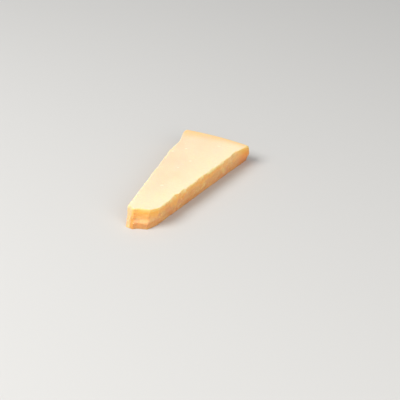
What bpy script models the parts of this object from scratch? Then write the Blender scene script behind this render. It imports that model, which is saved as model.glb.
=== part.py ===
"""A wedge of parmesan: a narrow sector of a large wheel with its tip broken off.

Metres, +Z up. The tip points along -Y and the rind along +Y. The origin is the middle of the flat foot.
The top is a smooth knife cut. The two long sides and the tip are broken, so they are rough.
"""

import math

import bmesh
import bpy
from mathutils import Vector, noise

MM = 0.001

# The wheel, measured on the wedge's top face.
WHEEL_RADIUS = 252.3 * MM
LEFT_ANGLE = math.radians(-8.7)
RIGHT_ANGLE = math.radians(7.7)
THICKNESS = 21.0 * MM

# The broken tip's outline on the top face and at the foot, from left to right. Y runs from the wheel's centre.
TIP_OUTLINE = (
    (-14.2 * MM, 91.2 * MM),
    (-5.9 * MM, 87.7 * MM),
    (-2.9 * MM, 90.3 * MM),
    (0.6 * MM, 91.5 * MM),
    (7.8 * MM, 93.8 * MM),
    (13.7 * MM, 101.4 * MM),
)
TIP_FOOT_OUTLINE = (
    (-14.6 * MM, 85.0 * MM),
    (-5.6 * MM, 84.3 * MM),
    (-2.7 * MM, 86.6 * MM),
    (1.0 * MM, 88.0 * MM),
    (7.8 * MM, 90.6 * MM),
    (12.5 * MM, 98.4 * MM),
)

# Between the two outlines the tip's left corner is straight, and the rest has a ledge below its middle.
LEDGE_TOP = 0.46
LEDGE_FOOT = 0.27
LEDGE_SHARE = 0.65
LEDGE_STARTS = 0.16
LEDGE_FULL_AT = 0.30

# How the sides stand: both top edges are a little out of line, and both feet lie inside their top edges.
RIGHT_STANDS_OUT = 0.9 * MM
LEFT_STANDS_OUT = 0.3 * MM
RIGHT_UNDERCUT = 2.9 * MM
LEFT_UNDERCUT = 0.8 * MM
UNDERCUT_POWER = 0.7

# The rind swells out below the top edge, and its corners are rounded.
RIND_SWELL = 5.0 * MM
RIND_SWELL_POWER = 2.2
RIND_EDGE_RADIUS = 3.2 * MM
RIND_EDGE_REACH = 11.0 * MM
BROKEN_EDGE_RADIUS = 1.5 * MM

# Beside the rind the right side flares out, most near the top, and a piece has broken from the left side.
FLARE = 3.1 * MM
FLARE_AT_FOOT = 0.1
FLARE_FULL_AT = 0.5
FLARE_START = 232.0 * MM
FLARE_END = 252.0 * MM
NICK_DEPTH = 2.7 * MM
NICK_START = 203.0 * MM
NICK_DEEPEST = 223.0 * MM
NICK_END = 245.0 * MM
NICK_REACH = 9.0 * MM

# Chips broken from the top edges of the sides: where each starts, is deepest and ends, and its depth.
RIGHT_EDGE_CHIPS = (
    (103.0 * MM, 111.0 * MM, 114.5 * MM, 0.8 * MM),
    (116.0 * MM, 129.5 * MM, 133.0 * MM, 2.8 * MM),
    (133.0 * MM, 141.5 * MM, 145.0 * MM, 1.8 * MM),
    (145.5 * MM, 153.0 * MM, 158.0 * MM, 1.0 * MM),
    (158.5 * MM, 171.0 * MM, 180.5 * MM, 1.3 * MM),
    (181.5 * MM, 188.5 * MM, 191.5 * MM, 1.4 * MM),
    (198.0 * MM, 206.5 * MM, 209.0 * MM, 0.9 * MM),
    (219.0 * MM, 229.0 * MM, 235.5 * MM, 1.9 * MM),
)
LEFT_EDGE_CHIPS = (
    (105.0 * MM, 108.0 * MM, 112.0 * MM, 0.6 * MM),
    (132.0 * MM, 136.0 * MM, 142.0 * MM, 0.7 * MM),
    (182.0 * MM, 190.0 * MM, 197.0 * MM, 1.1 * MM),
    (202.0 * MM, 204.6 * MM, 216.0 * MM, 1.4 * MM),
)
CHIP_SLOPE = 1.7
CHIP_HOLLOW = 1.5

# The rough relief of a broken face: chips of two sizes, and how far into the solid they move it.
LARGE_CHIP = 9.0 * MM
LARGE_CHIP_HEIGHT = 0.75 * MM
SMALL_CHIP = 3.6 * MM
SMALL_CHIP_HEIGHT = 0.3 * MM
TIP_FACE_ROUGHNESS = 0.7
TIP_FOOT_ROUGHNESS = 2.2
CHIP_CRISPNESS = 9.0
RELIEF_REACH = 3.5 * MM
CALM_TOP = 0.45
CALM_FOOT = 0.65
CALM_RIND = 0.75
CRUMBLED_EDGE = 0.55 * MM
CRUMBLED_REACH = 1.6 * MM
TOP_WAVE = 0.12 * MM
TOP_WAVE_LENGTH = 34.0 * MM

# The fine grid that is shaped, and the triangles that are kept of it.
GRID_STEP = 1.0 * MM
MEAN_WIDTH = 54.0 * MM
MEAN_LENGTH = 158.0 * MM
KEPT_TRIANGLES = 7000
FOOT_TOLERANCE = 0.08 * MM

PASTE_COLOUR = (0.92, 0.76, 0.48, 1.0)


def smooth(start, end, value):
    """0 before start, 1 after end, and an S between them."""
    x = min(max((value - start) / (end - start), 0.0), 1.0)
    return x * x * (3.0 - 2.0 * x)


def hump(start, highest, end, value):
    """0 outside start and end, 1 at the highest place between them."""
    return smooth(start, highest, value) * (1.0 - smooth(highest, end, value))


def along_outline(outline, share):
    """The point that lies this share of the way along a broken line."""
    lengths = [(b - a).length for a, b in zip(outline, outline[1:])]
    left = share * sum(lengths)
    for start, end, length in zip(outline, outline[1:], lengths):
        if left <= length:
            return start.lerp(end, left / length)
        left -= length
    return outline[-1]


def on_wheel(angle, radius):
    return Vector((math.sin(angle), math.cos(angle))) * radius


def plan_width(along):
    """The wedge's width this share of the way from the tip to the rind."""
    tip = TIP_OUTLINE[-1][0] - TIP_OUTLINE[0][0]
    rind = (on_wheel(RIGHT_ANGLE, WHEEL_RADIUS) - on_wheel(LEFT_ANGLE, WHEEL_RADIUS)).length
    return tip + (rind - tip) * along


def rind_radius(up):
    """The distance from the wheel's axis to the rind, this share of the way up."""
    return WHEEL_RADIUS + RIND_SWELL * (1.0 - up**RIND_SWELL_POWER)


def rounded(across, along, up):
    """Moves a point of the block's surface onto its rounded edges. The shares run from 0 to 1."""
    near_rind = smooth(MEAN_LENGTH - RIND_EDGE_REACH, MEAN_LENGTH, along * MEAN_LENGTH)
    radius = BROKEN_EDGE_RADIUS + (RIND_EDGE_RADIUS - BROKEN_EDGE_RADIUS) * near_rind
    sizes = (plan_width(along), MEAN_LENGTH, THICKNESS)
    shares = (across, along, up)
    pulls = []
    for size, share in zip(sizes, shares):
        place = share * size
        inner = min(max(place, radius), size - radius)
        pulls.append((place - inner) / radius)
    if pulls[2] < 0.0:
        pulls[2] = 0.0
    reach = math.sqrt(sum(pull * pull for pull in pulls))
    if reach <= 1.0:
        return shares
    moved = []
    for size, share, pull in zip(sizes, shares, pulls):
        moved.append(share - pull * (1.0 - 1.0 / reach) * radius / size)
    return moved


def chipped(point, size):
    """The height, about -1 to 1, of a surface that is broken into flat chips of this size."""
    place = point / size
    distances, centres = noise.voronoi(place)
    total = 0.0
    weights = 0.0
    for distance, centre in zip(distances, centres):
        weight = math.exp((distances[0] - distance) * CHIP_CRISPNESS)
        tilt = noise.noise_vector(centre * 3.7)
        height = 1.3 * noise.noise(centre * 5.3) + 1.2 * tilt.dot(place - centre)
        total += weight * height
        weights += weight
    return total / weights


def rough(point):
    """How far a broken face stands out here."""
    large = LARGE_CHIP_HEIGHT * chipped(point, LARGE_CHIP)
    small = SMALL_CHIP_HEIGHT * chipped(point + Vector((0.3, 0.1, 0.2)), SMALL_CHIP)
    return large + small


def edge_chips(chips, y, from_top):
    """How far the hollows broken from a top edge reach into the wedge here."""
    deepest = 0.0
    for start, middle, end, depth in chips:
        if start < y < end:
            down = min(from_top / (CHIP_SLOPE * depth), 1.0)
            deepest = max(deepest, depth * hump(start, middle, end, y) * (1.0 - down) ** CHIP_HOLLOW)
    return deepest


def tip_point(across, up):
    """The place on the tip's outline at this height."""
    ledge = LEDGE_SHARE * smooth(LEDGE_STARTS, LEDGE_FULL_AT, across)
    towards_foot = (1.0 - ledge) * (1.0 - up) + ledge * (1.0 - smooth(LEDGE_FOOT, LEDGE_TOP, up))
    pairs = zip(TIP_OUTLINE, TIP_FOOT_OUTLINE)
    return along_outline([Vector(top).lerp(Vector(foot), towards_foot) for top, foot in pairs], across)


def shaped(across, along, up):
    """The place in the wedge of a point of the block's surface, with the wheel's centre at X = Y = 0."""
    across, along, up = rounded(across, along, up)
    angle = LEFT_ANGLE + (RIGHT_ANGLE - LEFT_ANGLE) * across
    rind = on_wheel(angle, rind_radius(up))
    plan = tip_point(across, up).lerp(rind, along)
    point = Vector((plan.x, plan.y, up * THICKNESS))

    width = plan_width(along)
    from_left = across * width
    from_right = (1.0 - across) * width
    from_tip = along * MEAN_LENGTH
    from_top = (1.0 - up) * THICKNESS
    right = Vector((math.cos(RIGHT_ANGLE), -math.sin(RIGHT_ANGLE), 0.0))
    left = Vector((-math.cos(LEFT_ANGLE), math.sin(LEFT_ANGLE), 0.0))
    tipward = Vector((0.0, -1.0, 0.0))
    by_right = math.exp(-from_right / RELIEF_REACH)
    by_left = math.exp(-from_left / RELIEF_REACH)
    by_tip = math.exp(-from_tip / RELIEF_REACH)

    leaning = (1.0 - up) ** UNDERCUT_POWER
    flare = FLARE * smooth(FLARE_START, FLARE_END, point.y)
    flare *= FLARE_AT_FOOT + (1.0 - FLARE_AT_FOOT) * smooth(0.0, FLARE_FULL_AT, up)
    moved = point.copy()
    moved += right * (across * (flare + RIGHT_STANDS_OUT - RIGHT_UNDERCUT * leaning))
    moved += left * ((1.0 - across) * (LEFT_STANDS_OUT - LEFT_UNDERCUT * leaning))
    nick = NICK_DEPTH * hump(NICK_START, NICK_DEEPEST, NICK_END, point.y)
    moved -= left * (nick * math.exp(-from_left / NICK_REACH))
    calm_rind = 1.0 - CALM_RIND * smooth(MEAN_LENGTH - RIND_EDGE_REACH, MEAN_LENGTH, from_tip)
    calm_top = 1.0 - CALM_TOP * smooth(0.7, 1.0, up)
    calm_foot = 1.0 - CALM_FOOT * (1.0 - smooth(0.0, 0.35, up))
    relief = rough(point) * calm_rind * calm_top * calm_foot
    moved += right * ((relief - edge_chips(RIGHT_EDGE_CHIPS, point.y, from_top)) * by_right)
    moved += left * ((relief - edge_chips(LEFT_EDGE_CHIPS, point.y, from_top)) * by_left)
    tip_roughness = TIP_FOOT_ROUGHNESS + (TIP_FACE_ROUGHNESS - TIP_FOOT_ROUGHNESS) * smooth(0.3, 0.5, up)
    tip_roughness *= smooth(0.0, LEDGE_FULL_AT, across)
    moved += tipward * (relief * tip_roughness * by_tip)

    from_broken = min(from_left, from_right, from_tip)
    if up > 0.5:
        crumbled = max(0.0, chipped(point, SMALL_CHIP)) * math.exp(-(from_broken + from_top) / CRUMBLED_REACH)
        moved.z -= CRUMBLED_EDGE * crumbled * calm_rind
        moved.z += TOP_WAVE * noise.noise(point / TOP_WAVE_LENGTH) * smooth(0.5, 1.0, up)
    return moved


def grid_block():
    """A block of unit size whose faces are fine grids."""
    block = bmesh.new()
    bmesh.ops.create_cube(block, size=1.0)
    bmesh.ops.translate(block, vec=(0.5, 0.5, 0.5), verts=block.verts)
    for axis, size in enumerate((MEAN_WIDTH, MEAN_LENGTH, THICKNESS)):
        running = []
        for edge in block.edges:
            direction = edge.verts[1].co - edge.verts[0].co
            if abs(direction[axis]) > 0.5:
                running.append(edge)
        bmesh.ops.subdivide_edges(block, edges=running, cuts=round(size / GRID_STEP) - 1, use_grid_fill=True)
    return block


def simplified(name, mesh):
    """A new mesh with fewer triangles, the most of them where the surface is rough."""
    source = bpy.data.objects.new(name, mesh)
    bpy.context.scene.collection.objects.link(source)
    decimate = source.modifiers.new("Decimate", "DECIMATE")
    mesh.calc_loop_triangles()
    decimate.ratio = KEPT_TRIANGLES / len(mesh.loop_triangles)
    decimate.use_collapse_triangulate = True
    graph = bpy.context.evaluated_depsgraph_get()
    result = bpy.data.meshes.new_from_object(source.evaluated_get(graph))
    bpy.data.objects.remove(source)
    bpy.data.meshes.remove(mesh)
    return result


def rest_on_foot(mesh):
    """Makes the foot exactly flat, and puts the origin in the middle of the wedge's box, on the foot."""
    for vertex in mesh.vertices:
        if vertex.co.z < FOOT_TOLERANCE:
            vertex.co.z = 0.0
    xs = [vertex.co.x for vertex in mesh.vertices]
    ys = [vertex.co.y for vertex in mesh.vertices]
    middle = Vector(((min(xs) + max(xs)) / 2.0, (min(ys) + max(ys)) / 2.0, 0.0))
    for vertex in mesh.vertices:
        vertex.co -= middle


def paste_material():
    material = bpy.data.materials.new("paste")
    material.use_nodes = True
    shader = material.node_tree.nodes["Principled BSDF"]
    shader.inputs["Base Color"].default_value = PASTE_COLOUR
    shader.inputs["Roughness"].default_value = 0.6
    shader.inputs["Metallic"].default_value = 0.0
    return material


def cheese_wedge(collection):
    block = grid_block()
    for vertex in block.verts:
        vertex.co = shaped(*vertex.co)
    bmesh.ops.recalc_face_normals(block, faces=block.faces)
    fine = bpy.data.meshes.new("fine_wedge")
    block.to_mesh(fine)
    block.free()
    mesh = simplified("fine_wedge", fine)
    mesh.name = "cheese_wedge"
    rest_on_foot(mesh)
    mesh.materials.append(paste_material())
    mesh.shade_smooth()
    mesh.set_sharp_from_angle(angle=math.radians(32.0))
    wedge = bpy.data.objects.new("cheese_wedge", mesh)
    collection.objects.link(wedge)
    return wedge


def main():
    for old in list(bpy.data.objects):
        bpy.data.objects.remove(old)
    collection = bpy.data.collections.new("parmesan_wedge")
    bpy.context.scene.collection.children.link(collection)
    cheese_wedge(collection)


main()
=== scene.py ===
"""Looks of the parmesan wedge: its fine surface, its crumbs, the floor, the light and the camera.

Metres, +Z up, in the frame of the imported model. The wedge's shape follows the same named sizes as its solid.
"""

import math
import random

import bmesh
import bpy
from mathutils import Matrix, Vector, noise


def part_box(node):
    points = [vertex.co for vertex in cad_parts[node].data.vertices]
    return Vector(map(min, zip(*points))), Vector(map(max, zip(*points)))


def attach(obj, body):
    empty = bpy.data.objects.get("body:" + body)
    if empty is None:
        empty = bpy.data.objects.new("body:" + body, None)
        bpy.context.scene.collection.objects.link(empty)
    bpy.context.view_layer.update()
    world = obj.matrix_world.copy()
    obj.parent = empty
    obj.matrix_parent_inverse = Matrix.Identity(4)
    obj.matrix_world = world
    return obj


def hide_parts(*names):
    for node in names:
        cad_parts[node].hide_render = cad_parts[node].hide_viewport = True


MM = 0.001
NODE = "cheese_wedge"

# The wheel, measured on the wedge's top face.
WHEEL_RADIUS = 252.3 * MM
LEFT_ANGLE = math.radians(-8.7)
RIGHT_ANGLE = math.radians(7.7)
THICKNESS = 21.0 * MM

# The broken tip's outline on the top face and at the foot, from left to right.
# Y runs from the wheel's centre.
TIP_OUTLINE = (
    (-14.2 * MM, 91.2 * MM),
    (-5.9 * MM, 87.7 * MM),
    (-2.9 * MM, 90.3 * MM),
    (0.6 * MM, 91.5 * MM),
    (7.8 * MM, 93.8 * MM),
    (13.7 * MM, 101.4 * MM),
)
TIP_FOOT_OUTLINE = (
    (-14.6 * MM, 85.0 * MM),
    (-5.6 * MM, 84.3 * MM),
    (-2.7 * MM, 86.6 * MM),
    (1.0 * MM, 88.0 * MM),
    (7.8 * MM, 90.6 * MM),
    (12.5 * MM, 98.4 * MM),
)

# Between the two outlines the tip's left corner is straight, and the rest has a ledge below its middle.
LEDGE_TOP = 0.46
LEDGE_FOOT = 0.27
LEDGE_SHARE = 0.65
LEDGE_STARTS = 0.16
LEDGE_FULL_AT = 0.30

# How the sides stand: both top edges are a little out of line, and both feet lie inside their top edges.
RIGHT_STANDS_OUT = 0.9 * MM
LEFT_STANDS_OUT = 0.3 * MM
RIGHT_UNDERCUT = 2.9 * MM
LEFT_UNDERCUT = 0.8 * MM
UNDERCUT_POWER = 0.7

# The rind swells out below the top edge, and its corners are rounded.
RIND_SWELL = 5.0 * MM
RIND_SWELL_POWER = 2.2
RIND_EDGE_RADIUS = 3.2 * MM
RIND_EDGE_REACH = 11.0 * MM
BROKEN_EDGE_RADIUS = 1.5 * MM

# Beside the rind the right side flares out, most near the top, and a piece has broken from the left side.
FLARE = 3.1 * MM
FLARE_AT_FOOT = 0.1
FLARE_FULL_AT = 0.5
FLARE_START = 232.0 * MM
FLARE_END = 252.0 * MM
NICK_DEPTH = 2.7 * MM
NICK_START = 203.0 * MM
NICK_DEEPEST = 223.0 * MM
NICK_END = 245.0 * MM
NICK_REACH = 9.0 * MM

# Chips broken from the top edges of the sides: where each starts, is deepest and ends, and its depth.
RIGHT_EDGE_CHIPS = (
    (103.0 * MM, 111.0 * MM, 114.5 * MM, 0.8 * MM),
    (116.0 * MM, 129.5 * MM, 133.0 * MM, 2.8 * MM),
    (133.0 * MM, 141.5 * MM, 145.0 * MM, 1.8 * MM),
    (145.5 * MM, 153.0 * MM, 158.0 * MM, 1.0 * MM),
    (158.5 * MM, 171.0 * MM, 180.5 * MM, 1.3 * MM),
    (181.5 * MM, 188.5 * MM, 191.5 * MM, 1.4 * MM),
    (198.0 * MM, 206.5 * MM, 209.0 * MM, 0.9 * MM),
    (219.0 * MM, 229.0 * MM, 235.5 * MM, 1.9 * MM),
)
LEFT_EDGE_CHIPS = (
    (105.0 * MM, 108.0 * MM, 112.0 * MM, 0.6 * MM),
    (132.0 * MM, 136.0 * MM, 142.0 * MM, 0.7 * MM),
    (182.0 * MM, 190.0 * MM, 197.0 * MM, 1.1 * MM),
    (202.0 * MM, 204.6 * MM, 216.0 * MM, 1.4 * MM),
)
CHIP_SLOPE = 1.7
CHIP_HOLLOW = 1.5

# The rough relief of a broken face: chips of two sizes, and how far they move it.
LARGE_CHIP = 9.0 * MM
LARGE_CHIP_HEIGHT = 0.75 * MM
SMALL_CHIP = 3.6 * MM
SMALL_CHIP_HEIGHT = 0.3 * MM
SMALL_CHIP_SHIFT = (0.3, 0.1, 0.2)
TIP_FACE_ROUGHNESS = 0.7
TIP_FOOT_ROUGHNESS = 2.2
TIP_ROUGHNESS_CHANGES = (0.3, 0.5)
RELIEF_REACH = 3.5 * MM

# How crisp the edges of the chips are, how much each one steps and tilts, and how fast the noise behind runs.
CHIP_CRISPNESS = 9.0
CHIP_STEP = 1.3
CHIP_STEP_NOISE = 5.3
CHIP_TILT = 1.2
CHIP_TILT_NOISE = 3.7

# The relief is calmer towards the top, the foot and the rind, and the top edges are crumbled.
CALM_TOP = 0.45
CALM_TOP_STARTS = 0.7
CALM_FOOT = 0.65
CALM_FOOT_ENDS = 0.35
CALM_RIND = 0.75
CRUMBLED_EDGE = 0.55 * MM
CRUMBLED_REACH = 1.6 * MM
TOP_WAVE = 0.12 * MM
TOP_WAVE_LENGTH = 34.0 * MM

# From these shares of the height up, a point lies in the upper half and on the top face.
# Points of the foot lie below the tolerance.
UPPER_HALF = 0.5
TOP_FACE = 0.999
FOOT_TOLERANCE = 1e-9

# The finer relief that only this surface has: flakes and grains on the broken faces, and pits in the top.
FLAKE = 2.1 * MM
FLAKE_HEIGHT = 0.34 * MM
FLAKE_PATCH = 9.0 * MM
FLAKE_PATCH_NOISE = (-0.3, 0.4)
FLAKE_LEAST = 0.25
FLAKE_AT_CALM_FOOT = 0.4
GRAIN = 0.8 * MM
GRAIN_HEIGHT = 0.12 * MM
PIT_SPACING = 4.6 * MM
PIT_RADIUS = 0.55 * MM
PIT_LEAST = 0.4
PIT_NOISE = 9.1
PIT_DEPTH = 0.14 * MM

# Pale flakes that the knife left on the top: where each lies, from the wheel's centre, its half length
# and its height. They all lie along one direction.
TOP_FLAKES = (
    (-17.1 * MM, 211.5 * MM, 1.9 * MM, 0.18 * MM),
    (-1.6 * MM, 191.7 * MM, 2.1 * MM, 0.18 * MM),
    (-6.3 * MM, 174.6 * MM, 1.6 * MM, 0.16 * MM),
    (-3.8 * MM, 137.8 * MM, 2.5 * MM, 0.16 * MM),
    (9.7 * MM, 232.3 * MM, 1.6 * MM, 0.15 * MM),
    (-29.0 * MM, 235.0 * MM, 1.6 * MM, 0.15 * MM),
    (-26.6 * MM, 200.4 * MM, 2.0 * MM, 0.35 * MM),
    (24.6 * MM, 197.4 * MM, 2.2 * MM, 0.3 * MM),
)
FLAKE_DIRECTION = (0.86, 0.51)
FLAKE_NARROWNESS = 0.5
FLAKE_CORE = 0.3

# Where the finish changes: how deep the top's rim and a broken face's skin are, how far down a broken face
# its pale lip of painted light reaches where no chip has gone, and how thick the rind's tan band is at the
# left and the right.
TOP_RIM = (0.1 * MM, 0.7 * MM)
BROKEN_SKIN = (0.8 * MM, 1.6 * MM)
TIP_SKIN = 1.5 * MM
LIP_WIDTH = 3.6 * MM
RIND_BAND = (20.0 * MM, 8.5 * MM)
RIND_BAND_POWER = 2.0
FINEST_SHOWS = 1.5

# The tip's paler corner and its crease, darkened with painted shade, as shares of the way across, and how far
# up the crease goes.
PALE_CORNER_ENDS = (0.12, 0.30)
CREASE = (0.11, 0.21, 0.33)
CREASE_ENDS = (0.45, 0.7)

# The length that the shares along the wedge stand for, and the grid's steps across, along and up.
# The steps across are crowded towards both sides. An edge of the surface is sharp above this angle.
MEAN_LENGTH = 158.0 * MM
STEPS = (90, 420, 54)
EDGE_CROWDING = 0.5
SHARP_ANGLE = math.radians(50.0)

# From here on, colours are as a screen shows them, 0 to 255. A pair of places gives where a colour starts
# and where it is full, in millimetres from an edge or as a share across, and a strength is how much it
# covers there. A pair of noise values gives those that become 0 and 1.
WHOLE = (0.0, 1.0)
HEIGHT = (0.0, THICKNESS / MM)

# The knife-cut top. It pales towards the right and the tip with painted light.
TOP_CLOUD = 24.0 * MM
TOP_CLOUD_NOISE = (0.35, 0.65)
TOP_PEACH = (242, 216, 182)
TOP_CREAM = (243, 223, 190)
TOP_WANDER = 16.0 * MM
TOP_WANDERS_BY = (-0.15, 0.15)
TOP_TIP_WANDERS_BY = 40.0
TOP_RIGHT_ACROSS = (0.42, 0.85)
TOP_RIGHT_PAINTED_LIGHT = (245, 231, 195)
TOP_TIP_FROM = (50.0, 5.0)
TOP_TIP_PAINTED_LIGHT = (245, 229, 193)
TOP_MOTTLE = 2.6 * MM
TOP_MOTTLE_NOISE = (0.3, 0.7)
TOP_MOTTLE_STRENGTH = 0.3
TOP_MOTTLE_COLOUR = (236, 212, 172)
TOP_FLAKE_EDGE = (0.2, 0.7)
TOP_FLAKE_STRENGTH = 0.8
TOP_FLAKE_COLOUR = (255, 246, 222)
TOP_RIMS = (
    ("from_right", (2.0, 0.2), (250, 224, 164)),
    ("from_tip", (1.8, 0.2), (246, 210, 144)),
    ("from_left", (2.4, 0.4), (250, 238, 200)),
)

# The tip's face and its left corner, from the foot to the top. The face's colours hold painted shade at the
# foot, painted light on the ledge and painted warm bounce light above it.
TIP_FACE_STRAW_AND_PAINTED_LIGHT = (
    (0.0, (224, 166, 108)),
    (0.26, (226, 162, 98)),
    (0.35, (240, 189, 131)),
    (0.45, (247, 191, 127)),
    (0.56, (252, 187, 112)),
    (0.8, (253, 184, 90)),
    (0.92, (254, 204, 120)),
)
TIP_CORNER_COLOURS = (
    (0.0, (244, 200, 140)),
    (0.3, (246, 204, 148)),
    (0.55, (236, 199, 146)),
    (0.8, (236, 200, 144)),
    (1.0, (243, 218, 172)),
)
# Painted shade in the tip's crease.
CREASE_SHADE_STRENGTH = 0.9
CREASE_PAINTED_SHADE = (230, 160, 76)

# The broken faces: two straws in patches, warmed with painted bounce light, with painted shade that greys them
# below the top and darkens them, in patches, at the foot.
STRAW_PATCH = 11.0 * MM
STRAW_NOISE = (0.36, 0.64)
# Straw, warmed with painted bounce light.
STRAW_AND_BOUNCE_ORANGE = (250, 178, 122)
STRAW_AND_BOUNCE_YELLOW = (253, 196, 122)
# Painted shade: the broken faces darken below the top, more at the foot, and in patches near it.
SHADE_BELOW = (16.0, 11.0)
LOWER_PAINTED_SHADE = (239, 238, 239)
FOOT_SHADE_BELOW = (6.0, 1.0)
FOOT_SHADE_STRENGTH = 0.6
FOOT_PAINTED_SHADE = (240, 165, 99)
FOOT_SHADE_PATCH = 9.0 * MM
FOOT_SHADE_NOISE = (0.35, 0.65)
FOOT_SHADE_PATCH_BELOW = (7.0, 2.0)
FOOT_PATCHY_SHADE = (238, 233, 228)

# The pale lip under the top edge, in lip widths, with a ragged lower edge: painted light where the edge
# catches it, then an orange band of painted light glowing through the edge.
LIP_PATCH = 6.0 * MM
LIP_NOISE = (0.33, 0.67)
LIP_RAGGEDNESS = (-0.42, 0.42)
LIP_FADES = (2.4, 1.4)
LIP_REACH = (0.0, 1.5)
# Painted light: pale where the edge catches it, orange where it glows through the edge.
LIP_PAINTED_LIGHT_COLOURS = (
    (0.0, (254, 234, 172)),
    (0.2, (254, 214, 142)),
    (0.4, (253, 200, 122)),
    (0.75, (254, 186, 104)),
)

# The yellower stretch by the rind, the paler left side, and the painted light on what stands out and painted
# shade in the hollows.
YELLOW_FROM_RIND = (52.0, 34.0)
YELLOW_ABOVE = (9.0, 15.0)
YELLOW_STRENGTH = 0.85
YELLOW = (254, 206, 140)
LEFT_ACROSS = (0.3, 0.1)
LEFT_STRENGTH = 0.45
LEFT_COLOUR = (250, 216, 160)
# Painted light on what stands out, painted shade in the hollows.
RAISED = (0.2, 1.6)
RAISED_PAINTED_LIGHT = (254, 222, 160)
HOLLOW = (-0.2, -1.6)
HOLLOW_PAINTED_SHADE = (232, 156, 88)
RELIEF_LIGHT_AND_SHADE = 0.4

# The rind: its tan band on the cut top, from the rind inwards, and its orange band on the sides,
# from the foot up, darkened towards the foot with painted shade.
RIND_WANDER = 12.0 * MM
RIND_WANDERS_BY = (-0.2, 0.2)
RIND_TOP_COLOURS = (
    (0.0, (248, 206, 144)),
    (0.3, (249, 210, 154)),
    (0.7, (247, 209, 156)),
    (1.0, (244, 213, 166)),
)
RIND_TOP_FADES = (1.4, 0.4)
# Rind orange, with painted shade towards the foot.
RIND_SIDE_COLOURS_AND_SHADE = (
    (0.0, (222, 140, 82)),
    (0.3, (240, 156, 94)),
    (0.6, (251, 166, 88)),
    (0.8, (255, 186, 92)),
    (1.0, (255, 210, 124)),
)
RIND_SIDE_WANDERS_BY = 20.0
RIND_SIDE_FADES = (20.0, 10.0)
RIND_SIDE_ACROSS = (0.1, 0.5)
RIND_LEFT_STRENGTH = 0.5

# The outside of the rind: mottled amber with darker streaks that run round the wheel.
RIND_MOTTLE = 6.0 * MM
RIND_MOTTLE_NOISE = (0.3, 0.7)
RIND_BROWN = (220, 158, 88)
RIND_AMBER = (236, 184, 112)
RIND_STREAKS = (0.12, 0.12, 1.0)
RIND_STREAK = 1.1 * MM
RIND_STREAK_NOISE = (0.5, 0.75)
RIND_STREAK_STRENGTH = 0.45
RIND_STREAK_COLOUR = (204, 140, 74)
RIND_SKIN = (0.7, 0.15)

# The small pale crystals in the paste: round cells that a finer noise breaks up.
CRYSTAL_SPACING = 4.2 * MM
CRYSTAL_EDGE = (0.15, 0.08)
CRYSTAL_STRENGTH = 0.55
CRYSTAL_GRAIN = 0.7 * MM
CRYSTAL_GRAIN_NOISE = (0.42, 0.62)
CRYSTAL_COLOUR = (255, 246, 226)

# How waxy the cheese is, and how far the light goes into it.
ROUGHNESS_PATCH = 1.2 * MM
ROUGHNESS_NOISE = (0.3, 0.7)
ROUGHNESS = (0.5, 0.72)
SUBSURFACE_WEIGHT = 0.5
SUBSURFACE_RADIUS = (1.0, 0.5, 0.22)
SUBSURFACE_SCALE = 3.5 * MM
SPECULAR_LEVEL = 0.3

# The bump: grain, round grains and the knife's streaks, which run along the wedge.
# It is stronger on broken faces.
BUMP_GRAIN = 0.6 * MM
BUMP_CELL = 1.1 * MM
BUMP_CELL_HEIGHT = -0.8
BUMP_STREAK = 0.8 * MM
BUMP_STREAK_HEIGHT = 0.5
KNIFE_STREAKS = (1.0, 0.05, 1.0)
BUMP_CUT_TO_BROKEN = (0.5, 1.2)
BUMP_STRENGTH = 0.7
BUMP_DISTANCE = 0.25 * MM

# The crumbs that cling to the broken edges: how many, half their size, their proportions, and where they lie.
CRUMB_COUNT = 70
CRUMB_SIZES = (0.25 * MM, 0.75 * MM)
CRUMB_SCALES = (0.6, 1.0)
CRUMB_LENGTHS = (0.8, 1.5)
CRUMB_HEIGHTS = (0.35, 0.6)
CRUMB_SEED = 11
CRUMB_EDGES = ("left", "right", "right", "tip")
CRUMBS_ALONG = (0.0, 0.93)
CRUMBS_ACROSS_TIP = (0.05, 0.95)
CRUMB_INSET = 0.004
CRUMB_INSET_SPREAD = 0.02
CRUMB_TIP_INSET = 0.5

# A crumb's knobs and facets, on a ball of radius 1, and its finish.
CRUMB_BALL = 0.9
CRUMB_KNOB = 0.5
CRUMB_KNOB_NOISE = 1.3
CRUMB_FACET = 1.1
CRUMB_FACET_HEIGHT = 0.45
CRUMB_NOISE_RANGE = (-50.0, 50.0)
CRUMB_PATCH = 1.5 * MM
CRUMB_NOISE = (0.3, 0.7)
CRUMB_STRAW = (250, 218, 160)
CRUMB_CREAM = (252, 232, 190)
CRUMB_ROUGHNESS = 0.7

# The floor, and the lights: each one's place, width, power and colour.
FLOOR_HALF_WIDTH = 6.0
FLOOR_COLOUR = (206, 206, 205)
FLOOR_ROUGHNESS = 0.9
KEY_LIGHT = ((-0.74, -0.88, 1.34), 1.1, 28.0, (1.0, 0.985, 0.96))
FILL_LIGHT = ((1.2, -0.7, 0.8), 1.2, 9.6, (1.0, 0.97, 0.93))
WORLD_COLOUR = (1.0, 1.0, 1.0, 1.0)
WORLD_STRENGTH = 0.4

# The camera, measured from the wheel's centre, and its lens.
CAMERA_FROM_CENTRE = (430.3 * MM, -612.9 * MM, 560.0 * MM)
CAMERA_AZIMUTH = math.radians(27.58)
CAMERA_ELEVATION = math.radians(32.69)
CAMERA_ROLL = math.radians(0.65)
CAMERA_LENS = 94.19
CAMERA_SENSOR = 36.0
WHEEL_CENTRE_X = 0.71 * MM


def smooth(start, end, value):
    """0 before start, 1 after end, and an S between them."""
    x = min(max((value - start) / (end - start), 0.0), 1.0)
    return x * x * (3.0 - 2.0 * x)


def hump(start, highest, end, value):
    """0 outside start and end, 1 at the highest place between them."""
    return smooth(start, highest, value) * (1.0 - smooth(highest, end, value))


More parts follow.
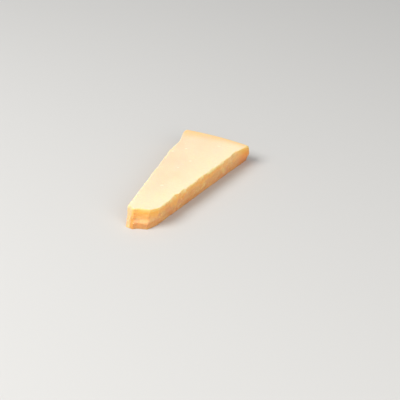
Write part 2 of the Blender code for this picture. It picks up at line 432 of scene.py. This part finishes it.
def along_outline(outline, share):
    """The point that lies this share of the way along a broken line."""
    lengths = [(b - a).length for a, b in zip(outline, outline[1:])]
    left = share * sum(lengths)
    for start, end, length in zip(outline, outline[1:], lengths):
        if left <= length:
            return start.lerp(end, left / length)
        left -= length
    return outline[-1]


def on_wheel(angle, radius):
    return Vector((math.sin(angle), math.cos(angle))) * radius


def plan_width(along):
    """The wedge's width this share of the way from the tip to the rind."""
    tip = TIP_OUTLINE[-1][0] - TIP_OUTLINE[0][0]
    rind = (on_wheel(RIGHT_ANGLE, WHEEL_RADIUS) - on_wheel(LEFT_ANGLE, WHEEL_RADIUS)).length
    return tip + (rind - tip) * along


def rind_radius(up):
    """The distance from the wheel's axis to the rind, this share of the way up."""
    return WHEEL_RADIUS + RIND_SWELL * (1.0 - up**RIND_SWELL_POWER)


def rounded(across, along, up):
    """Moves a point of the block's surface onto its rounded edges. The shares run from 0 to 1."""
    near_rind = smooth(MEAN_LENGTH - RIND_EDGE_REACH, MEAN_LENGTH, along * MEAN_LENGTH)
    radius = BROKEN_EDGE_RADIUS + (RIND_EDGE_RADIUS - BROKEN_EDGE_RADIUS) * near_rind
    sizes = (plan_width(along), MEAN_LENGTH, THICKNESS)
    shares = (across, along, up)
    pulls = []
    for size, share in zip(sizes, shares):
        place = share * size
        inner = min(max(place, radius), size - radius)
        pulls.append((place - inner) / radius)
    if pulls[2] < 0.0:
        pulls[2] = 0.0
    reach = math.sqrt(sum(pull * pull for pull in pulls))
    if reach <= 1.0:
        return shares
    moved = []
    for size, share, pull in zip(sizes, shares, pulls):
        moved.append(share - pull * (1.0 - 1.0 / reach) * radius / size)
    return moved


def chipped(point, size):
    """The height, about -1 to 1, of a surface that is broken into flat chips of this size."""
    place = point / size
    distances, centres = noise.voronoi(place)
    total = 0.0
    weights = 0.0
    for distance, centre in zip(distances, centres):
        weight = math.exp((distances[0] - distance) * CHIP_CRISPNESS)
        step = CHIP_STEP * noise.noise(centre * CHIP_STEP_NOISE)
        tilt = noise.noise_vector(centre * CHIP_TILT_NOISE)
        total += weight * (step + CHIP_TILT * tilt.dot(place - centre))
        weights += weight
    return total / weights


def rough(point):
    """How far a broken face stands out here."""
    large = LARGE_CHIP_HEIGHT * chipped(point, LARGE_CHIP)
    small = SMALL_CHIP_HEIGHT * chipped(point + Vector(SMALL_CHIP_SHIFT), SMALL_CHIP)
    return large + small


def flaky(point):
    """The finest relief of a broken face: thin flakes and grains, stronger in some patches than in others."""
    patch = FLAKE_LEAST + smooth(*FLAKE_PATCH_NOISE, noise.noise(point / FLAKE_PATCH))
    flakes = FLAKE_HEIGHT * chipped(point, FLAKE)
    grains = GRAIN_HEIGHT * chipped(point, GRAIN)
    return patch * (flakes + grains)


def pitted(point):
    """How deep the small pits of the cut face are here."""
    distances, centres = noise.voronoi(point / PIT_SPACING)
    size = PIT_RADIUS * (PIT_LEAST + abs(noise.noise(centres[0] * PIT_NOISE)))
    inside = max(0.0, 1.0 - distances[0] * PIT_SPACING / size)
    return PIT_DEPTH * smooth(0.0, 1.0, inside)


def flaked(point):
    """How much of a pale flake there is on the top here, 0 to 1, and its height."""
    share = 0.0
    height = 0.0
    along_x, along_y = FLAKE_DIRECTION
    for x, y, length, flake_height in TOP_FLAKES:
        away_x = (point.x - x) / length
        away_y = (point.y - y) / length
        lengthways = away_x * along_x + away_y * along_y
        crossways = (away_y * along_x - away_x * along_y) / FLAKE_NARROWNESS
        inside = 1.0 - smooth(FLAKE_CORE, 1.0, math.hypot(lengthways, crossways))
        share = max(share, inside)
        height = max(height, inside * flake_height)
    return share, height


def edge_chips(chips, y, from_top):
    """How far the hollows broken from a top edge reach into the wedge here."""
    deepest = 0.0
    for start, middle, end, depth in chips:
        if start < y < end:
            down = min(from_top / (CHIP_SLOPE * depth), 1.0)
            deepest = max(deepest, depth * hump(start, middle, end, y) * (1.0 - down) ** CHIP_HOLLOW)
    return deepest


def lip(chips, y, from_top):
    """How far below the broken edge a point of a side lies: 1 where the pale lip ends."""
    return from_top / (LIP_WIDTH + edge_chips(chips, y, 0.0))


def tip_point(across, up):
    """The place on the tip's outline at this height."""
    ledge = LEDGE_SHARE * smooth(LEDGE_STARTS, LEDGE_FULL_AT, across)
    towards_foot = (1.0 - ledge) * (1.0 - up) + ledge * (1.0 - smooth(LEDGE_FOOT, LEDGE_TOP, up))
    pairs = zip(TIP_OUTLINE, TIP_FOOT_OUTLINE)
    return along_outline([Vector(top).lerp(Vector(foot), towards_foot) for top, foot in pairs], across)


def shaped(across, along, up):
    """Where a point of the block's surface goes, from the wheel's centre, and what its finish depends on."""
    across, along, up = rounded(across, along, up)
    angle = LEFT_ANGLE + (RIGHT_ANGLE - LEFT_ANGLE) * across
    rind = on_wheel(angle, rind_radius(up))
    plan = tip_point(across, up).lerp(rind, along)
    point = Vector((plan.x, plan.y, up * THICKNESS))

    width = plan_width(along)
    from_left = across * width
    from_right = (1.0 - across) * width
    from_tip = along * MEAN_LENGTH
    from_top = (1.0 - up) * THICKNESS
    right = Vector((math.cos(RIGHT_ANGLE), -math.sin(RIGHT_ANGLE), 0.0))
    left = Vector((-math.cos(LEFT_ANGLE), math.sin(LEFT_ANGLE), 0.0))
    tipward = Vector((0.0, -1.0, 0.0))
    by_right = math.exp(-from_right / RELIEF_REACH)
    by_left = math.exp(-from_left / RELIEF_REACH)
    by_tip = math.exp(-from_tip / RELIEF_REACH)

    leaning = (1.0 - up) ** UNDERCUT_POWER
    flare = FLARE * smooth(FLARE_START, FLARE_END, point.y)
    flare *= FLARE_AT_FOOT + (1.0 - FLARE_AT_FOOT) * smooth(0.0, FLARE_FULL_AT, up)
    moved = point.copy()
    moved += right * (across * (flare + RIGHT_STANDS_OUT - RIGHT_UNDERCUT * leaning))
    moved += left * ((1.0 - across) * (LEFT_STANDS_OUT - LEFT_UNDERCUT * leaning))
    nick = NICK_DEPTH * hump(NICK_START, NICK_DEEPEST, NICK_END, point.y)
    moved -= left * (nick * math.exp(-from_left / NICK_REACH))

    calm_rind = 1.0 - CALM_RIND * smooth(MEAN_LENGTH - RIND_EDGE_REACH, MEAN_LENGTH, from_tip)
    calm_top = 1.0 - CALM_TOP * smooth(CALM_TOP_STARTS, 1.0, up)
    calm_foot = 1.0 - CALM_FOOT * (1.0 - smooth(0.0, CALM_FOOT_ENDS, up))
    relief = rough(point) * calm_rind * calm_top * calm_foot
    finest = flaky(point) * calm_rind * (FLAKE_AT_CALM_FOOT + (1.0 - FLAKE_AT_CALM_FOOT) * calm_foot)
    moved += right * ((relief + finest - edge_chips(RIGHT_EDGE_CHIPS, point.y, from_top)) * by_right)
    moved += left * ((relief + finest - edge_chips(LEFT_EDGE_CHIPS, point.y, from_top)) * by_left)
    tip_roughness = smooth(*TIP_ROUGHNESS_CHANGES, up)
    tip_roughness = TIP_FOOT_ROUGHNESS + (TIP_FACE_ROUGHNESS - TIP_FOOT_ROUGHNESS) * tip_roughness
    tip_roughness *= smooth(0.0, LEDGE_FULL_AT, across)
    moved += tipward * ((relief * tip_roughness + finest) * by_tip)

    from_broken = min(from_left, from_right, from_tip)
    if up > UPPER_HALF:
        crumbled = max(0.0, chipped(point, SMALL_CHIP)) * math.exp(-(from_broken + from_top) / CRUMBLED_REACH)
        moved.z -= CRUMBLED_EDGE * crumbled * calm_rind
        moved.z += TOP_WAVE * noise.noise(point / TOP_WAVE_LENGTH) * smooth(UPPER_HALF, 1.0, up)
    flake = 0.0
    if up > TOP_FACE:
        flake, flake_height = flaked(point)
        moved.z += flake_height - pitted(point)

    on_broken_face = 1.0 - smooth(*BROKEN_SKIN, from_broken)
    on_tip = 1.0 - smooth(0.0, TIP_SKIN, from_tip)
    chips = RIGHT_EDGE_CHIPS if across > 0.5 else LEFT_EDGE_CHIPS
    rind_band = RIND_BAND[1] + (RIND_BAND[0] - RIND_BAND[1]) * (1.0 - across) ** RIND_BAND_POWER
    rind_depth = rind_radius(up) - point.xy.length
    finish = {
        "broken": smooth(*TOP_RIM, from_top),
        "height": (relief / LARGE_CHIP_HEIGHT + FINEST_SHOWS * finest / FLAKE_HEIGHT) * on_broken_face,
        "lip": lip(chips, point.y, from_top),
        "pale_corner": on_tip * (1.0 - smooth(*PALE_CORNER_ENDS, across)),
        "crease": on_tip * hump(*CREASE, across) * (1.0 - smooth(*CREASE_ENDS, up)),
        "tip": on_tip,
        "rind": rind_depth / rind_band,
        "rind_depth": rind_depth / MM,
        "flake": flake,
        "across": across,
        "from_left": from_left / MM,
        "from_right": from_right / MM,
        "from_tip": from_tip / MM,
        "from_foot": up * THICKNESS / MM,
    }
    return moved, finish


def grid_block():
    """A block of unit size whose faces are fine grids, with its columns closer together at both sides."""
    block = bmesh.new()
    bmesh.ops.create_cube(block, size=1.0)
    bmesh.ops.translate(block, vec=(0.5, 0.5, 0.5), verts=block.verts)
    for axis, steps in enumerate(STEPS):
        running = []
        for edge in block.edges:
            direction = edge.verts[1].co - edge.verts[0].co
            if abs(direction[axis]) > 0.5:
                running.append(edge)
        bmesh.ops.subdivide_edges(block, edges=running, cuts=steps - 1, use_grid_fill=True)
    for vertex in block.verts:
        vertex.co.x -= EDGE_CROWDING * math.sin(math.tau * vertex.co.x) / math.tau
    return block


def flatten_foot(block):
    """Makes one face of the flat foot."""
    under = [face for face in block.faces if all(vertex.co.z < FOOT_TOLERANCE for vertex in face.verts)]
    bmesh.ops.dissolve_faces(block, faces=under, use_verts=False)


def new_object(name, data):
    """An object with this mesh, light or camera as its data, in the scene."""
    thing = bpy.data.objects.new(name, data)
    bpy.context.scene.collection.objects.link(thing)
    return thing


def centre_on(block, low, high):
    """The move that brings the middle of the points onto the middle of a box, in plan."""
    xs = [vertex.co.x for vertex in block.verts]
    ys = [vertex.co.y for vertex in block.verts]
    middle = Vector(((min(xs) + max(xs)) / 2.0, (min(ys) + max(ys)) / 2.0, 0.0))
    target = Vector(((low.x + high.x) / 2.0, (low.y + high.y) / 2.0, low.z))
    return target - middle


def wedge_surface(low, high):
    """The wedge's fine surface, and the move from the wheel's centre to the part's frame."""
    block = grid_block()
    finishes = []
    for vertex in block.verts:
        vertex.co, finish = shaped(*vertex.co)
        finishes.append(finish)
    move = centre_on(block, low, high)
    layers = {name: block.verts.layers.float.new(name) for name in finishes[0]}
    for vertex, finish in zip(block.verts, finishes):
        for name, layer in layers.items():
            vertex[layer] = finish[name]
    flatten_foot(block)
    bmesh.ops.translate(block, vec=move, verts=block.verts)
    bmesh.ops.recalc_face_normals(block, faces=block.faces)
    mesh = bpy.data.meshes.new("wedge_surface")
    block.to_mesh(mesh)
    block.free()
    mesh.shade_smooth()
    mesh.set_sharp_from_angle(angle=SHARP_ANGLE)
    return new_object("wedge_surface", mesh), move


def rgb(red, green, blue):
    """A linear colour from the 0 to 255 values that a screen shows."""
    shown = [value / 255.0 for value in (red, green, blue)]
    linear = [value / 12.92 if value <= 0.04045 else ((value + 0.055) / 1.055) ** 2.4 for value in shown]
    return (*linear, 1.0)


class Shader:
    """A material's nodes, added one at a time. Colours are given as a screen shows them, 0 to 255."""

    def __init__(self, name):
        self.material = bpy.data.materials.new(name)
        self.material.use_nodes = True
        self.tree = self.material.node_tree
        self.surface = self.tree.nodes["Principled BSDF"]

    def add(self, kind, values=None, **settings):
        node = self.tree.nodes.new(kind)
        for name, value in settings.items():
            setattr(node, name, value)
        for name, value in (values or {}).items():
            node.inputs[name].default_value = value
        return node

    def link(self, source, target):
        self.tree.links.new(source, target)

    def attribute(self, name):
        return self.add("ShaderNodeAttribute", attribute_name=name).outputs["Fac"]

    def place(self):
        return self.add("ShaderNodeTexCoord").outputs["Object"]

    def stretched(self, place, scale):
        """The place, scaled along each axis. A pattern is longest along the axis of the smallest scale."""
        node = self.add("ShaderNodeMapping", {"Scale": scale})
        self.link(place, node.inputs["Vector"])
        return node.outputs["Vector"]

    def noise(self, place, size, detail=3.0, roughness=0.5):
        """Noise from 0 to 1 whose patches are about this many metres across."""
        node = self.add("ShaderNodeTexNoise", {"Scale": 1.0 / size, "Detail": detail, "Roughness": roughness})
        self.link(place, node.inputs["Vector"])
        return node.outputs["Fac"]

    def cells(self, place, size):
        """The distance to the nearest of a scatter of points this many metres apart, in cells."""
        node = self.add("ShaderNodeTexVoronoi", {"Scale": 1.0 / size})
        self.link(place, node.inputs["Vector"])
        return node.outputs["Distance"]

    def mapped(self, value, between, onto=WHOLE):
        """The value, moved in a straight line from one pair of ends onto another, and kept between those."""
        start, end = between
        low, high = onto
        node = self.add(
            "ShaderNodeMapRange", {"From Min": start, "From Max": end, "To Min": low, "To Max": high}
        )
        self.link(value, node.inputs["Value"])
        return node.outputs["Result"]

    def math(self, operation, first, second):
        node = self.add("ShaderNodeMath", operation=operation)
        for socket, value in zip(node.inputs, (first, second)):
            if isinstance(value, float):
                socket.default_value = value
            else:
                self.link(value, socket)
        return node.outputs["Value"]

    def mix(self, share, first, second, blend="MIX"):
        """A mix of two colours. Each may also be another node's output, as the share always is."""
        node = self.add("ShaderNodeMix", data_type="RGBA", blend_type=blend)
        self.link(share, node.inputs[0])
        for socket, colour in ((node.inputs[6], first), (node.inputs[7], second)):
            if isinstance(colour, tuple):
                socket.default_value = rgb(*colour)
            else:
                self.link(colour, socket)
        return node.outputs[2]

    def ramp(self, value, stops):
        """A colour ramp through (position, colour) stops."""
        node = self.add("ShaderNodeValToRGB")
        elements = node.color_ramp.elements
        while len(elements) < len(stops):
            elements.new(0.5)
        for element, (position, colour) in zip(elements, stops):
            element.position = position
            element.color = rgb(*colour)
        self.link(value, node.inputs["Fac"])
        return node.outputs["Color"]


def cut_colour(shader, place):
    """The knife-cut top: peach cream, paled by painted light towards the tip and the right, yellower at its
    broken rims.
    """
    clouds = shader.mapped(shader.noise(place, TOP_CLOUD, detail=2.0), TOP_CLOUD_NOISE)
    middle = shader.mix(clouds, TOP_PEACH, TOP_CREAM)
    wander = shader.mapped(shader.noise(place, TOP_WANDER), WHOLE, TOP_WANDERS_BY)
    across = shader.math("ADD", shader.attribute("across"), wander)
    # Painted light pales the top towards the right.
    paste = shader.mix(shader.mapped(across, TOP_RIGHT_ACROSS), middle, TOP_RIGHT_PAINTED_LIGHT)
    tip_wander = shader.math("MULTIPLY", wander, TOP_TIP_WANDERS_BY)
    from_tip = shader.math("ADD", shader.attribute("from_tip"), tip_wander)
    # Painted light pales the top towards the tip.
    paste = shader.mix(shader.mapped(from_tip, TOP_TIP_FROM), paste, TOP_TIP_PAINTED_LIGHT)
    mottles = shader.noise(place, TOP_MOTTLE, roughness=0.6)
    mottles = shader.mapped(mottles, TOP_MOTTLE_NOISE, (0.0, TOP_MOTTLE_STRENGTH))
    paste = shader.mix(mottles, paste, TOP_MOTTLE_COLOUR)
    flakes = shader.mapped(shader.attribute("flake"), TOP_FLAKE_EDGE, (0.0, TOP_FLAKE_STRENGTH))
    paste = shader.mix(flakes, paste, TOP_FLAKE_COLOUR)
    for distance, rim, colour in TOP_RIMS:
        paste = shader.mix(shader.mapped(shader.attribute(distance), rim), paste, colour)
    return paste


def tip_colour(shader):
    """The tip: straw with painted light and shade, orange with painted bounce light above its ledge, painted
    light on the ledge and painted shade at its foot, and pale straw at its left corner.
    """
    up = shader.mapped(shader.attribute("from_foot"), HEIGHT)
    # Painted light and shade on the tip's face, by height: shade at the foot, light on the ledge, warm bounce
    # light above.
    face = shader.ramp(up, TIP_FACE_STRAW_AND_PAINTED_LIGHT)
    corner = shader.ramp(up, TIP_CORNER_COLOURS)
    tip = shader.mix(shader.attribute("pale_corner"), face, corner)
    # Painted shade darkens the crease.
    crease = shader.mapped(shader.attribute("crease"), WHOLE, (0.0, CREASE_SHADE_STRENGTH))
    return shader.mix(crease, tip, CREASE_PAINTED_SHADE)


def lip_over(shader, place, straw):
    """The straw with the pale lip of painted light over it, which is ragged where it ends."""
    ragged = shader.noise(place, LIP_PATCH, roughness=0.6)
    ragged = shader.mapped(ragged, LIP_NOISE, LIP_RAGGEDNESS)
    down = shader.math("ADD", shader.attribute("lip"), ragged)
    # Painted light under the top edge.
    lip_light = shader.ramp(shader.mapped(down, LIP_REACH), LIP_PAINTED_LIGHT_COLOURS)
    return shader.mix(shader.mapped(down, LIP_FADES), straw, lip_light)


def broken_colour(shader, place):
    """The broken faces: warm straw with painted bounce light, painted light where it stands out and at the
    lip, painted shade in the hollows and towards the foot.
    """
    height = shader.attribute("height")
    from_foot = shader.attribute("from_foot")
    patches = shader.mapped(shader.noise(place, STRAW_PATCH), STRAW_NOISE)
    # Straw patches, warmed with painted bounce light.
    straw = shader.mix(patches, STRAW_AND_BOUNCE_ORANGE, STRAW_AND_BOUNCE_YELLOW)
    # Painted shade: darker below the top, deeper at the foot, and in patches near it.
    straw = shader.mix(shader.mapped(from_foot, SHADE_BELOW), straw, LOWER_PAINTED_SHADE, "MULTIPLY")
    straw = shader.mix(shader.mapped(from_foot, FOOT_SHADE_BELOW, (0.0, FOOT_SHADE_STRENGTH)), straw, FOOT_PAINTED_SHADE)
    patchy_shade = shader.mapped(shader.noise(place, FOOT_SHADE_PATCH), FOOT_SHADE_NOISE)
    patchy_shade = shader.math("MULTIPLY", patchy_shade, shader.mapped(from_foot, FOOT_SHADE_PATCH_BELOW))
    straw = shader.mix(patchy_shade, straw, FOOT_PATCHY_SHADE, "MULTIPLY")
    straw = lip_over(shader, place, straw)
    by_rind = shader.mapped(shader.attribute("rind_depth"), YELLOW_FROM_RIND)
    high_up = shader.mapped(from_foot, YELLOW_ABOVE, (0.0, YELLOW_STRENGTH))
    straw = shader.mix(shader.math("MULTIPLY", by_rind, high_up), straw, YELLOW)
    at_left = shader.mapped(shader.attribute("across"), LEFT_ACROSS, (0.0, LEFT_STRENGTH))
    straw = shader.mix(at_left, straw, LEFT_COLOUR)
    straw = shader.mix(shader.attribute("tip"), straw, tip_colour(shader))
    # Painted light on what stands out, painted shade in the hollows.
    straw = shader.mix(shader.mapped(height, RAISED, (0.0, RELIEF_LIGHT_AND_SHADE)), straw, RAISED_PAINTED_LIGHT)
    return shader.mix(shader.mapped(height, HOLLOW, (0.0, RELIEF_LIGHT_AND_SHADE)), straw, HOLLOW_PAINTED_SHADE)


def rind_outside(shader, place):
    """The outside of the rind."""
    mottles = shader.noise(place, RIND_MOTTLE, detail=6.0, roughness=0.6)
    outside = shader.mix(shader.mapped(mottles, RIND_MOTTLE_NOISE), RIND_BROWN, RIND_AMBER)
    streaks = shader.noise(shader.stretched(place, RIND_STREAKS), RIND_STREAK)
    streaks = shader.mapped(streaks, RIND_STREAK_NOISE, (0.0, RIND_STREAK_STRENGTH))
    return shader.mix(streaks, outside, RIND_STREAK_COLOUR)


def rind_over(shader, place, paste):
    """The paste with the rind over it: tan on the cut face, orange on the broken sides with painted shade
    towards the foot, amber outside.
    """
    wander = shader.mapped(shader.noise(place, RIND_WANDER, detail=2.0), WHOLE, RIND_WANDERS_BY)
    depth = shader.math("ADD", shader.attribute("rind"), wander)
    on_top = shader.ramp(depth, RIND_TOP_COLOURS)
    on_top = shader.mix(shader.mapped(depth, RIND_TOP_FADES), paste, on_top)
    side_wander = shader.math("MULTIPLY", wander, RIND_SIDE_WANDERS_BY)
    side_depth = shader.math("ADD", shader.attribute("rind_depth"), side_wander)
    on_right = shader.mapped(shader.attribute("across"), RIND_SIDE_ACROSS, (RIND_LEFT_STRENGTH, 1.0))
    side_share = shader.math("MULTIPLY", shader.mapped(side_depth, RIND_SIDE_FADES), on_right)
    # The side band's ramp paints shade towards the foot.
    on_side = shader.ramp(shader.mapped(shader.attribute("from_foot"), HEIGHT), RIND_SIDE_COLOURS_AND_SHADE)
    on_side = shader.mix(side_share, paste, on_side)
    coloured = shader.mix(shader.attribute("broken"), on_top, on_side)
    skin = shader.mapped(shader.attribute("rind_depth"), RIND_SKIN)
    return shader.mix(skin, coloured, rind_outside(shader, place))


def with_crystals(shader, place, paste):
    """The paste with small pale crystals in it."""
    crystals = shader.mapped(shader.cells(place, CRYSTAL_SPACING), CRYSTAL_EDGE, (0.0, CRYSTAL_STRENGTH))
    grains = shader.mapped(shader.noise(place, CRYSTAL_GRAIN), CRYSTAL_GRAIN_NOISE)
    return shader.mix(shader.math("MULTIPLY", crystals, grains), paste, CRYSTAL_COLOUR)


def grain_normal(shader, place):
    """The normal of the cheese's finest grain, with the knife's streaks in it."""
    grain = shader.noise(place, BUMP_GRAIN, detail=4.0, roughness=0.65)
    grains = shader.math("MULTIPLY", shader.cells(place, BUMP_CELL), BUMP_CELL_HEIGHT)
    streaks = shader.noise(shader.stretched(place, KNIFE_STREAKS), BUMP_STREAK, detail=2.0)
    streaks = shader.math("MULTIPLY", streaks, BUMP_STREAK_HEIGHT)
    height = shader.math("ADD", shader.math("ADD", grain, grains), streaks)
    strength = shader.mapped(shader.attribute("broken"), WHOLE, BUMP_CUT_TO_BROKEN)
    height = shader.math("MULTIPLY", height, strength)
    bump = shader.add("ShaderNodeBump", {"Strength": BUMP_STRENGTH, "Distance": BUMP_DISTANCE})
    shader.link(height, bump.inputs["Height"])
    return bump.outputs["Normal"]


def cheese_material():
    """Pale paste on the cut face, deeper straw on the broken faces, and an amber rind that fades inwards."""
    shader = Shader("cheese")
    place = shader.place()
    surface = shader.surface.inputs
    paste = shader.mix(shader.attribute("broken"), cut_colour(shader, place), broken_colour(shader, place))
    paste = with_crystals(shader, place, paste)
    shader.link(rind_over(shader, place, paste), surface["Base Color"])
    roughness = shader.mapped(shader.noise(place, ROUGHNESS_PATCH), ROUGHNESS_NOISE, ROUGHNESS)
    shader.link(roughness, surface["Roughness"])
    shader.link(grain_normal(shader, place), surface["Normal"])
    surface["Subsurface Weight"].default_value = SUBSURFACE_WEIGHT
    surface["Subsurface Radius"].default_value = SUBSURFACE_RADIUS
    surface["Subsurface Scale"].default_value = SUBSURFACE_SCALE
    surface["Specular IOR Level"].default_value = SPECULAR_LEVEL
    return shader.material


def crumb_material():
    """Dry crumbs, paler than the face they broke from."""
    shader = Shader("crumb")
    surface = shader.surface.inputs
    patches = shader.mapped(shader.noise(shader.place(), CRUMB_PATCH), CRUMB_NOISE)
    shader.link(shader.mix(patches, CRUMB_STRAW, CRUMB_CREAM), surface["Base Color"])
    surface["Roughness"].default_value = CRUMB_ROUGHNESS
    return shader.material


def add_crumb(crumbs, place, size, turn, draw):
    """One knobbly crumb, sunk a little into what it lies on. The size is half of each side."""
    made = bmesh.ops.create_icosphere(crumbs, subdivisions=2, radius=1.0)
    shift = Vector([draw.uniform(*CRUMB_NOISE_RANGE) for _ in range(3)])
    turned = Matrix.Rotation(turn, 3, "Z")
    for vertex in made["verts"]:
        knobs = CRUMB_KNOB * noise.noise(vertex.co * CRUMB_KNOB_NOISE + shift)
        facets = CRUMB_FACET_HEIGHT * chipped(vertex.co + shift, CRUMB_FACET)
        vertex.co = place + turned @ (vertex.co * (CRUMB_BALL + knobs + facets) * size)


def edge_crumbs(move):
    """Crumbs that cling along the top edges of the two sides and of the tip."""
    draw = random.Random(CRUMB_SEED)
    crumbs = bmesh.new()
    for _ in range(CRUMB_COUNT):
        width = draw.uniform(*CRUMB_SIZES) * draw.uniform(*CRUMB_SCALES)
        size = Vector((width * draw.uniform(*CRUMB_LENGTHS), width, width * draw.uniform(*CRUMB_HEIGHTS)))
        along = draw.uniform(*CRUMBS_ALONG)
        inset = abs(draw.gauss(0.0, CRUMB_INSET_SPREAD)) + CRUMB_INSET
        side = draw.choice(CRUMB_EDGES)
        if side == "left":
            across = inset
        elif side == "right":
            across = 1.0 - inset
        else:
            across = draw.uniform(*CRUMBS_ACROSS_TIP)
            along = inset * CRUMB_TIP_INSET
        place, _finish = shaped(across, along, 1.0)
        add_crumb(crumbs, place + move, size, draw.uniform(0.0, math.tau), draw)
    mesh = bpy.data.meshes.new("edge_crumbs")
    crumbs.to_mesh(mesh)
    crumbs.free()
    return new_object("edge_crumbs", mesh)


def floor():
    """A plain pale floor."""
    sheet = bmesh.new()
    bmesh.ops.create_grid(sheet, x_segments=1, y_segments=1, size=FLOOR_HALF_WIDTH)
    mesh = bpy.data.meshes.new("floor")
    sheet.to_mesh(mesh)
    sheet.free()
    shader = Shader("floor")
    shader.surface.inputs["Base Color"].default_value = rgb(*FLOOR_COLOUR)
    shader.surface.inputs["Roughness"].default_value = FLOOR_ROUGHNESS
    mesh.materials.append(shader.material)
    return new_object("floor", mesh)


def area_light(name, place, width, power, colour):
    """A round light that shines on the frame's origin."""
    data = bpy.data.lights.new(name, "AREA")
    data.shape = "DISK"
    data.size = width
    data.energy = power
    data.color = colour
    light = new_object(name, data)
    light.location = place
    light.rotation_euler = (-Vector(place)).to_track_quat("-Z", "Y").to_euler()


def studio_light():
    area_light("key", *KEY_LIGHT)
    area_light("fill", *FILL_LIGHT)
    world = bpy.data.worlds.new("studio")
    world.use_nodes = True
    background = world.node_tree.nodes["Background"]
    background.inputs["Color"].default_value = WORLD_COLOUR
    background.inputs["Strength"].default_value = WORLD_STRENGTH
    bpy.context.scene.world = world


def photograph_camera(wheel_centre):
    data = bpy.data.cameras.new("camera")
    data.lens = CAMERA_LENS
    data.sensor_width = CAMERA_SENSOR
    camera = new_object("camera", data)
    turn = Matrix.Rotation(CAMERA_AZIMUTH, 4, "Z")
    turn = turn @ Matrix.Rotation(math.radians(90.0) - CAMERA_ELEVATION, 4, "X")
    turn = turn @ Matrix.Rotation(CAMERA_ROLL, 4, "Z")
    camera.matrix_world = Matrix.Translation(wheel_centre + Vector(CAMERA_FROM_CENTRE)) @ turn
    bpy.context.scene.camera = camera


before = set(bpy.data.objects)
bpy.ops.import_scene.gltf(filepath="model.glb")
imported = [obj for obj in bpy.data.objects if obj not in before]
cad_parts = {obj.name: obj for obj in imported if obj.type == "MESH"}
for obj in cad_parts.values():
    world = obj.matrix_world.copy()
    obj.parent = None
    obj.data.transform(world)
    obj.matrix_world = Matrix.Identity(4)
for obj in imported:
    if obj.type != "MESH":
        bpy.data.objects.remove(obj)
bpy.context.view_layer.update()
low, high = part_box(NODE)
wheel_centre = Vector((WHEEL_CENTRE_X, high.y - rind_radius(0.0), low.z))
photograph_camera(wheel_centre)
studio_light()
floor()

surface, move = wedge_surface(low, high)
surface.data.materials.append(cheese_material())
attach(surface, "root")
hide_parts(NODE)

crumbs = edge_crumbs(move)
crumbs.data.materials.append(crumb_material())
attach(crumbs, "root")

bpy.context.scene.view_settings.view_transform = "Standard"
